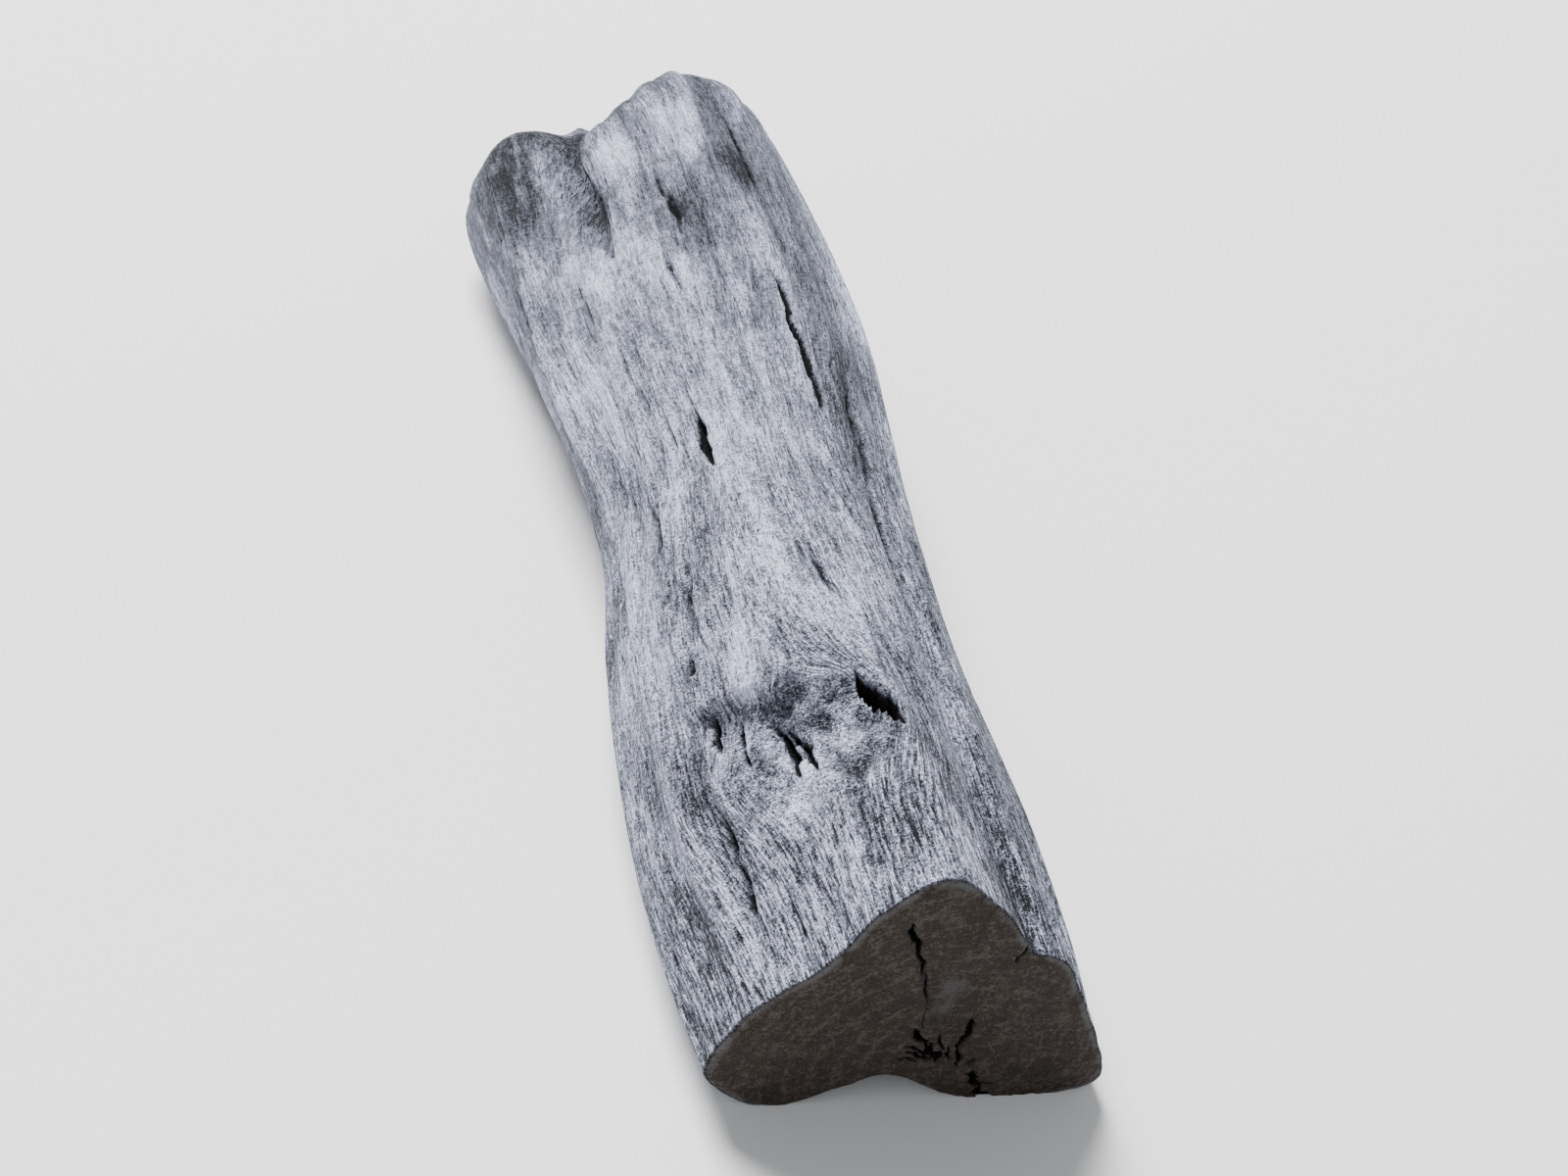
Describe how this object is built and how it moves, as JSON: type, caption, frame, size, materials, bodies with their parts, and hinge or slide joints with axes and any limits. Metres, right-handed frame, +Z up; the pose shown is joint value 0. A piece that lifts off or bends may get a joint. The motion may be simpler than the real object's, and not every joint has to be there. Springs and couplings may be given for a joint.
{
  "type": "charcoal lump",
  "caption": "Stick of white charcoal lying on its side, with a cracked cut face, a healed knot, lengthwise splits and a forked far end.",
  "frame": {"origin": "under the middle of the stick, on the surface it lies on", "axes": "+Y along the stick from the cut face to the forked far end, +Z up, +X to the right seen from the cut face"},
  "size_m": [0.0706, 0.222, 0.0456],
  "materials": {
    "ashy_charcoal": "dull silver-grey ash with lengthwise fibres over black charcoal; the cut face is smooth brown-black"
  },
  "bodies": {
    "root": {"charcoal_stick": "ashy_charcoal"}
  },
  "joints": []
}
